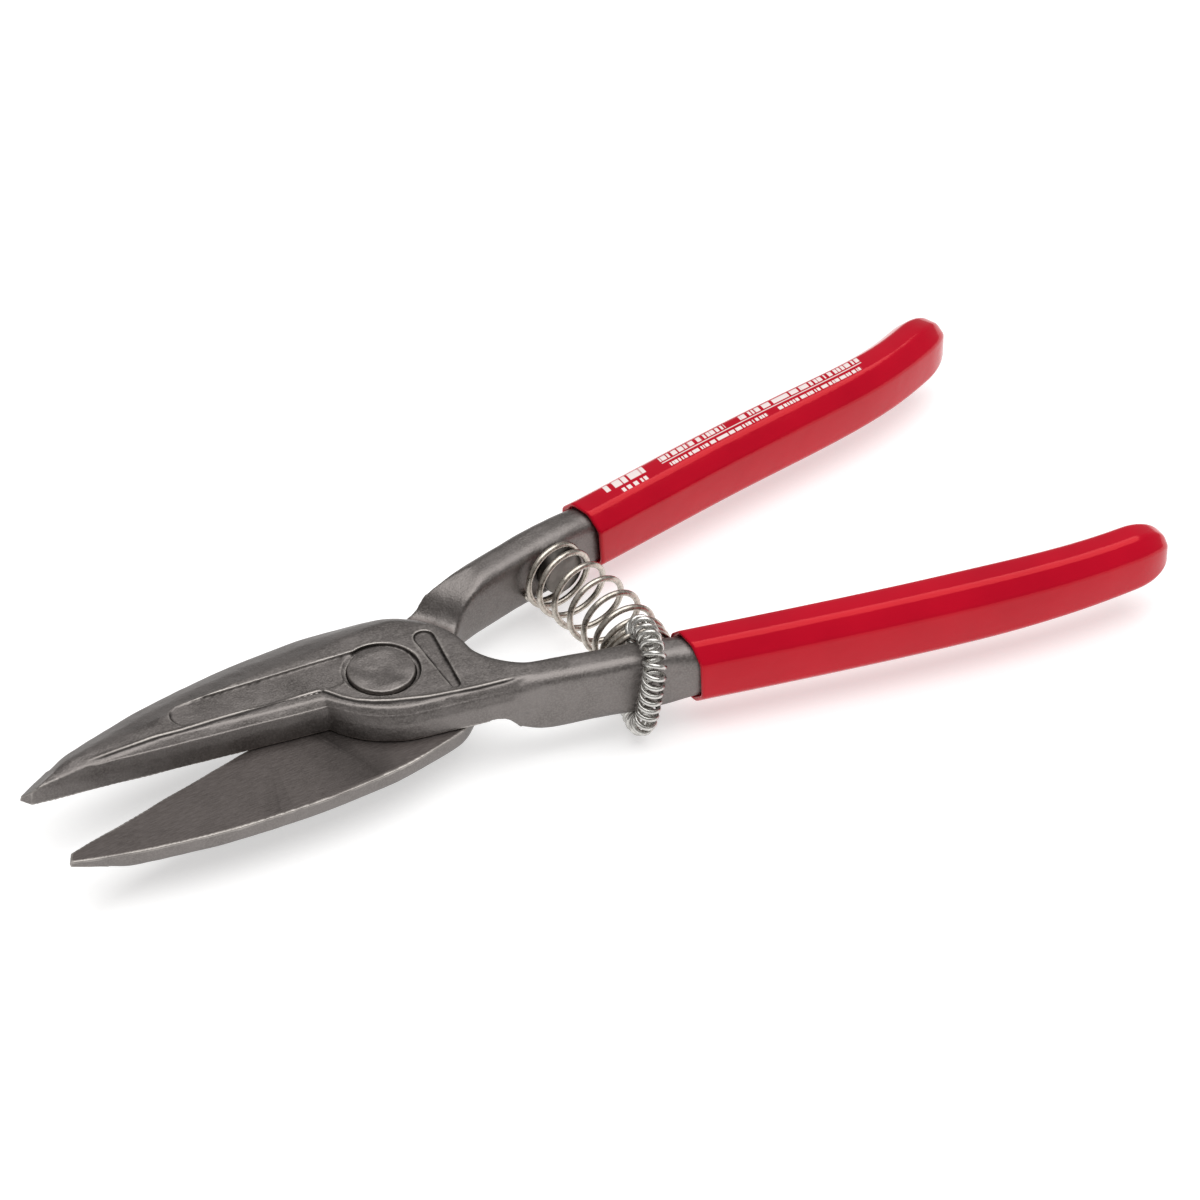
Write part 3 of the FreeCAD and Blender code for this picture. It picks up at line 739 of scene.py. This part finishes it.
def grip(name, node, outer_side, slant_across, slant_up):
    """A dipped grip: a sleeve with a slanted mouth over the handle, closed at its end. outer_side is the
    Y direction away from the other handle. The slants move the mouth at its outer side and its top."""
    low, high = box_mm(node)
    line = HandleLine(node, low[0] + MEASURED_FROM, high[0] - MEASURED_TO)
    start = low[0] + MOUTH_INSET
    dome_start = high[0] - DOME_LENGTH - 0.05

    def ring(x, beyond, scale, inset):
        width = np.interp(x, line.places, line.widths) * line.along(x)[0]
        depth = np.interp(x, line.places, line.depths)
        facet = GRIP_FACET * width
        section = facet_section((width - 2 * inset) * scale, (depth - 2 * inset) * scale,
                                (facet - inset * 0.6) * scale, GRIP_BLEND * scale)
        falloff = 1.0 - smooth_step(x, start, start + MOUTH_FADE)
        shift = (slant_across * outer_side * section[:, 0] / (width / 2)
                 + slant_up * section[:, 1] / (depth / 2)) * falloff
        return (line.middle(x) + section[:, :1] * line.across(x) + section[:, 1:] * UP
                + (shift + beyond)[:, None] * line.along(x))

    # The inner wall from its closed end to the mouth, the rolled lip, the outer skin and the dome.
    rings = [ring(x, 0.0, 1.0, GRIP_WALL) for x in np.linspace(dome_start - 1.0, start + 0.8, 40)]
    for turn in np.radians([-90, -60, -30, 0, 30, 60, 90]):
        rings.append(ring(start, GRIP_LIP * (1 - math.cos(turn)), 1.0, GRIP_LIP * (1 - math.sin(turn))))
    rings += [ring(x, 0.0, 1.0, 0.0) for x in np.linspace(start + 0.9, dome_start, 90)]
    for turn in np.radians([7, 14, 21, 28, 35, 42, 49, 56, 63, 70, 76, 81, 85, 88]):
        rings.append(ring(dome_start, DOME_LENGTH * math.sin(turn), math.cos(turn) ** DOME_SQUARENESS, 0.0))
    size = len(rings[0])
    points = np.vstack(rings + [line.middle(dome_start) + line.along(dome_start) * DOME_LENGTH])
    faces = []
    for i in range(len(rings) - 1):
        for side in range(size):
            following = (side + 1) % size
            faces.append((i * size + side, i * size + following,
                          (i + 1) * size + following, (i + 1) * size + side))
    faces.append(tuple(reversed(range(size))))
    last = (len(rings) - 1) * size
    for side in range(size):
        faces.append((last + side, last + (side + 1) % size, len(points) - 1))
    piece = mesh_from(name, points, faces)
    sideways = np.array([(point - line.middle(point[0])) @ line.across(point[0]) for point in points])
    up = points[:, 2] - line.height
    add_values(piece.data, "run", points[:, 0] - start)
    add_values(piece.data, "round", np.where(up > 0, -sideways * outer_side, 20.0))
    return piece


# --------------------------------------------------------------------------------------------------
# Springs.

# The opening spring. Its turns' places along Y are closer at both ends, and its ends lie square to the
# handles.
SPRING_RADIUS = 7.1
SPRING_WIRE = 0.675
FAR_END_X = 50.0
NEAR_END_X = 51.5
FAR_TURN = math.radians(8.5)
NEAR_TURN = math.radians(-14.0)
SAMPLES_PER_TURN = 40
TURN_PLACES = [16.1, 14.3, 10.3, 4.9, -0.6, -5.9, -11.1, -14.4, -16.2, -17.9]


def spring_line():
    """The opening spring's wire. Its axis bends from the far handle's normal to the near handle's."""
    start = np.array([FAR_END_X, TURN_PLACES[0]])
    end = np.array([NEAR_END_X, TURN_PLACES[-1]])
    reach = start[1] - end[1]
    start_way = np.array([math.sin(FAR_TURN), -math.cos(FAR_TURN)]) * reach
    end_way = np.array([math.sin(NEAR_TURN), -math.cos(NEAR_TURN)]) * reach
    turns = len(TURN_PLACES) - 1
    samples = np.linspace(0, turns, turns * SAMPLES_PER_TURN + 1)
    heights = np.interp(samples, range(turns + 1), TURN_PLACES)
    # A running average over one turn makes the pitch change gently.
    half_turn = SAMPLES_PER_TURN // 2
    kernel = np.ones(SAMPLES_PER_TURN + 1) / (SAMPLES_PER_TURN + 1)
    padded = np.concatenate([np.full(half_turn, heights[0]), heights, np.full(half_turn, heights[-1])])
    heights = np.convolve(padded, kernel, "valid")
    line = []
    ways = []
    for turn, height in zip(samples, heights):
        share = (start[1] - height) / reach
        share2 = share * share
        share3 = share2 * share
        axis = ((2 * share3 - 3 * share2 + 1) * start + (share3 - 2 * share2 + share) * start_way
                + (3 * share2 - 2 * share3) * end + (share3 - share2) * end_way)
        heading = FAR_TURN + (NEAR_TURN - FAR_TURN) * share
        side = np.array([math.cos(heading), math.sin(heading), 0.0])
        angle = 2 * math.pi * turn + math.radians(200)
        way = side * math.cos(angle) + UP * math.sin(angle)
        line.append(np.array([axis[0], axis[1], MATING]) + SPRING_RADIUS * way)
        ways.append(way)
    return np.array(line), np.array(ways)


def opening_spring(material):
    line, ways = spring_line()
    piece = tube("opening_spring_coil", line, ways, SPRING_WIRE, 16)
    piece.data.materials.append(material)
    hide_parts("opening_spring")
    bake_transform(piece)


# The retaining ring: the radius of its coil outside, its wire, its slack on the handle and its lean.
RING_TUBE = 2.65
RING_WIRE = 0.55
RING_TURNS = 29
RING_SLACK = 0.25
RING_LEAN = math.radians(8.5)
HANDLE_CORNER = 2.6
SAMPLES_PER_RING_TURN = 20


def rounded_loop(width, depth, corner, samples):
    """Evenly spaced points round a rounded rectangle, with the outward direction at each."""
    straight_across = width - 2 * corner
    straight_up = depth - 2 * corner
    quarter = math.pi * corner / 2
    total = 2 * (straight_across + straight_up) + 4 * quarter
    points = []
    outward = []
    for i in range(samples):
        left = total * i / samples
        lengths = [straight_up, quarter, straight_across, quarter] * 2
        position = np.array([width / 2, -(depth / 2 - corner)])
        heading = math.pi / 2
        for number, length in enumerate(lengths):
            step = min(left, length)
            if number % 2 == 0:
                position = position + step * np.array([math.cos(heading), math.sin(heading)])
            else:
                centre = position + corner * np.array([-math.sin(heading), math.cos(heading)])
                swing = step / corner
                spoke = position - centre
                position = centre + np.array([spoke[0] * math.cos(swing) - spoke[1] * math.sin(swing),
                                              spoke[0] * math.sin(swing) + spoke[1] * math.cos(swing)])
                heading += swing
            left -= step
            if left <= 1e-9:
                break
        points.append(position)
        outward.append(np.array([math.sin(heading), -math.cos(heading)]))
    return np.array(points), np.array(outward)


def retaining_ring(material):
    """A fine coil closed on itself, round the near handle and through the opening spring's last turns."""
    low, high = box_mm("retaining_ring")
    place_x = (low[0] + high[0]) / 2
    handle = HandleLine("front_half", 36.0, 56.0)
    reach = RING_TUBE + RING_SLACK
    _, _, level_width, bar_depth = handle.measure(place_x)
    bar_width = level_width * math.cos(math.atan(handle.slope(place_x)))
    samples = RING_TURNS * SAMPLES_PER_RING_TURN
    loop, outward = rounded_loop(bar_width + 2 * reach, bar_depth + 2 * reach,
                                 HANDLE_CORNER + reach, samples)
    across = handle.across(place_x)
    along = handle.along(place_x)
    up = UP * math.cos(RING_LEAN) + along * math.sin(RING_LEAN)
    side_way = along * math.cos(RING_LEAN) - UP * math.sin(RING_LEAN)
    middle = handle.middle(place_x)
    coil_radius = RING_TUBE - RING_WIRE
    random = np.random.default_rng(RANDOM_SEED)
    wander = random.uniform(-0.12, 0.12, RING_TURNS)
    line = []
    ways = []
    for i in range(samples):
        base = middle + loop[i, 0] * across + loop[i, 1] * up
        out = outward[i, 0] * across + outward[i, 1] * up
        turn = 2 * math.pi * RING_TURNS * i / samples
        turn += wander[int(i * RING_TURNS / samples)] * math.sin(turn / 2) ** 2
        way = out * math.cos(turn) + side_way * math.sin(turn)
        line.append(base + coil_radius * way)
        ways.append(way)
    piece = tube("retaining_ring_coil", line, np.array(ways), RING_WIRE, 12, closed=True)
    finish_piece(piece, "front", "spring_wire", material, "retaining_ring")


# --------------------------------------------------------------------------------------------------
# The pivot's pieces and the peg.

# HEAD_UNDERSIDE is the head's seat above the mating face, and the cone turns off the nut's corners.
SHANK_RADIUS = 4.0
HEAD_UNDERSIDE = 4.0
WASHER_BORE = 4.15
WASHER_SHEET = 0.65
NUT_BORE = 4.02
NUT_CONE_START = 6.9
NUT_CONE_END = 8.4
NUT_CONE_HEIGHT = 0.9


def pivot_bolt(material):
    """The bolt's round head, slightly domed and dished by peening, on a plain shank."""
    low, high = box_mm("pivot_bolt")
    top = high[2]
    end = low[2]
    head_radius = high[0] - 0.15
    seat = MATING + HEAD_UNDERSIDE
    chamfer = 0.6
    profile = [(0, end), (SHANK_RADIUS - chamfer, end), (SHANK_RADIUS, end + chamfer),
               (SHANK_RADIUS, seat), (head_radius, seat), (head_radius, top - 0.12), (5.2, top),
               (3.0, top - 0.12), (1.0, top - 0.3), (0, top - 0.32)]
    piece = lathe("pivot_bolt_turned", rounded(profile, 0.45))
    points = coordinates(piece.data)
    share = smooth_step(points[:, 2], top - 1.0, top - 0.5)
    points[:, 2] += share * (0.05 * wave_noise(points, 2.2, RANDOM_SEED + 3) - 0.06)
    set_coordinates(piece.data, points)
    for name in ("ground", "ledge", "ledge_on"):
        add_values(piece.data, name, np.zeros(len(points)))
    radius = np.hypot(points[:, 0], points[:, 1])
    # The head's rim is painted lighter, partly as wear and partly as a painted highlight.
    rim = np.exp(-((radius - head_radius) / 0.35) ** 2) * smooth_step(points[:, 2], top - 0.7, top - 0.3)
    add_values(piece.data, "worn_edge_sheen_and_corner_shade", rim * 0.8)
    finish_piece(piece, "front", "forged_steel", material, "pivot_bolt")


def spring_washer(material):
    """A dished ring of sheet steel, higher at its bore."""
    low, high = box_mm("spring_washer")
    radius = high[0]
    profile = [(WASHER_BORE, high[2] - WASHER_SHEET), (radius, low[2]), (radius, low[2] + WASHER_SHEET),
               (WASHER_BORE, high[2])]
    outline = profile + [profile[0]]
    piece = lathe("spring_washer_dished", rounded(outline, 0.18)[:-1])
    finish_piece(piece, "front", "plated_steel", material, "spring_washer")


def pivot_nut(material):
    """A thin hexagon nut, bevelled on both faces, round the bolt's end."""
    low, high = box_mm("pivot_nut")
    height = high[2]
    corner = high[0]
    work = bmesh.new()
    sides = 6
    rings = []
    for level in (0.0, height):
        places = [(corner * math.cos(math.pi / 3 * side), corner * math.sin(math.pi / 3 * side), level)
                  for side in range(sides)]
        rings.append([work.verts.new(Vector(place) * MM) for place in places])
    work.faces.new(rings[0][::-1])
    work.faces.new(rings[1])
    for side in range(sides):
        following = (side + 1) % sides
        work.faces.new((rings[0][side], rings[0][following], rings[1][following], rings[1][side]))
    mesh = bpy.data.meshes.new("pivot_nut_hexagon")
    work.to_mesh(mesh)
    work.free()
    piece = new_object("pivot_nut_hexagon", mesh)
    # The corners are turned off by a cone on each face, and the bolt's hole goes through.
    past = 0.01
    cone_profile = [(0, -past), (NUT_CONE_START, -past), (NUT_CONE_END, NUT_CONE_HEIGHT),
                    (NUT_CONE_END, height - NUT_CONE_HEIGHT), (NUT_CONE_START, height + past),
                    (0, height + past)]
    cone = lathe("cone", cone_profile, 96, close=False)
    hole_profile = [(0, -2), (NUT_BORE, -2), (NUT_BORE, height + 2), (0, height + 2)]
    hole = lathe("hole", hole_profile, 64, close=False)
    with_modifier(piece, "BOOLEAN", operation="INTERSECT", object=cone, solver="EXACT")
    with_modifier(piece, "BOOLEAN", operation="DIFFERENCE", object=hole, solver="EXACT")
    for helper in (cone, hole):
        bpy.data.objects.remove(helper)
    mesh = with_modifier(piece, "BEVEL", width=0.14 * MM, segments=2, limit_method="ANGLE",
                         angle_limit=math.radians(25))
    mesh.polygons.foreach_set("use_smooth", [False] * len(mesh.polygons))
    finish_piece(piece, "front", "plated_steel", material, "pivot_nut")


def spring_peg(material):
    """The button that the opening spring sits over, on its shank in the far handle."""
    node = frame["nodes"]["spring_peg"]
    points = coordinates(node.data)
    handle = HandleLine("rear_half", 40.0, 60.0)
    along = handle.along(PEG_X)
    inward = -handle.across(PEG_X)
    shank = 2.2
    button = 5.0
    button_start = 4.0
    button_end = 7.4
    profile = [(0, 0), (shank, 0), (shank, button_start), (button, button_start), (button, button_end),
               (0, button_end)]
    piece = lathe("spring_peg_turned", rounded(profile, 0.6), 48)
    middle = points.mean(0)
    span = points @ inward
    root = middle + inward * (span.min() - middle @ inward)
    axes = Matrix((along, np.cross(inward, along), inward)).transposed()
    turned = coordinates(piece.data) @ np.array(axes).T + root
    set_coordinates(piece.data, turned)
    finish_piece(piece, "rear", "plated_steel", material, "spring_peg")


# --------------------------------------------------------------------------------------------------
# Camera, floor and light.

VIEW_RIGHT = np.array([0.8526, -0.5225, 0.0])
VIEW_AHEAD = np.array([0.3958, 0.6459, -0.6528])
VIEW_UP = np.cross(VIEW_RIGHT, VIEW_AHEAD)
VIEW_DISTANCE = 1440.6
FRAME_RIGHT = 44.86
FRAME_UP = 19.93


def add_camera():
    data = bpy.data.cameras.new("camera")
    data.lens = 210.0
    data.sensor_width = 36.0
    data.clip_end = 20.0
    camera = bpy.data.objects.new("camera", data)
    bpy.context.scene.collection.objects.link(camera)
    place = FRAME_RIGHT * VIEW_RIGHT + FRAME_UP * VIEW_UP - VIEW_DISTANCE * VIEW_AHEAD + MATING * UP
    turn = Matrix((VIEW_RIGHT, VIEW_UP, -VIEW_AHEAD)).transposed().to_4x4()
    camera.matrix_world = Matrix.Translation(Vector(place) * MM) @ turn
    bpy.context.scene.camera = camera


def add_floor():
    nodes = Nodes("floor")
    nodes.set(Base_Color=(0.7, 0.7, 0.7, 1), Roughness=0.9, Specular_IOR_Level=0.1)
    nodes.set(Emission_Color=(1.0, 1.0, 1.0, 1), Emission_Strength=0.5)
    reach = 4000.0
    height = -0.05
    corners = [(-reach, -reach, height), (reach, -reach, height),
               (reach, reach, height), (-reach, reach, height)]
    piece = mesh_from("floor", corners, [(0, 1, 2, 3)])
    piece.data.materials.append(nodes.material)


def add_softbox(name, place, aim, width, height, power):
    data = bpy.data.lights.new(name, "AREA")
    data.shape = "RECTANGLE"
    data.size = width * MM
    data.size_y = height * MM
    data.energy = power
    light = bpy.data.objects.new(name, data)
    bpy.context.scene.collection.objects.link(light)
    light.location = Vector(place) * MM
    direction = (Vector(aim) - Vector(place)).normalized()
    light.rotation_euler = direction.to_track_quat("-Z", "Y").to_euler()


def add_lights():
    world = bpy.data.worlds.new("studio")
    bpy.context.scene.world = world
    world.use_nodes = True
    background = world.node_tree.nodes["Background"]
    background.inputs["Color"].default_value = (1.0, 0.98, 0.96, 1)
    background.inputs["Strength"].default_value = 0.35
    add_softbox("overhead_softbox", (300, -100, 1200), (300, -100, 0), 1600, 1500, 18.0)


# --------------------------------------------------------------------------------------------------
# The whole object.

bpy.context.scene.view_settings.view_transform = "Standard"
add_camera()
add_floor()
add_lights()

steel = forged_steel_material()
plated = plated_material("plated_steel", (0.42, 0.41, 0.38), (0.54, 0.53, 0.5))
wire = bright_wire_material("spring_wire", (0.6, 0.55, 0.49), (0.36, 0.33, 0.29))
ring_wire = bright_wire_material("ring_wire", (0.66, 0.65, 0.62), (0.46, 0.45, 0.43))

finish_piece(forging("front_half", "front_forging", False), "front", "forged_steel", steel, "front_half")
finish_piece(forging("rear_half", "rear_forging", True), "rear", "forged_steel", steel, "rear_half")
pivot_bolt(steel)
spring_washer(plated)
pivot_nut(plated)
spring_peg(plated_material("dark_plated_steel", (0.12, 0.11, 0.1), (0.2, 0.185, 0.17)))
opening_spring(wire)
retaining_ring(ring_wire)
near_sleeve = grip("near_grip_sleeve", "near_grip", -1.0, 1.6, -0.4)
finish_piece(near_sleeve, "front", "red_dip", dipped_material("red_dip_plain", False), "near_grip")
far_sleeve = grip("far_grip_sleeve", "far_grip", 1.0, -0.6, -0.6)
finish_piece(far_sleeve, "rear", "red_dip", dipped_material("red_dip_printed", True), "far_grip")
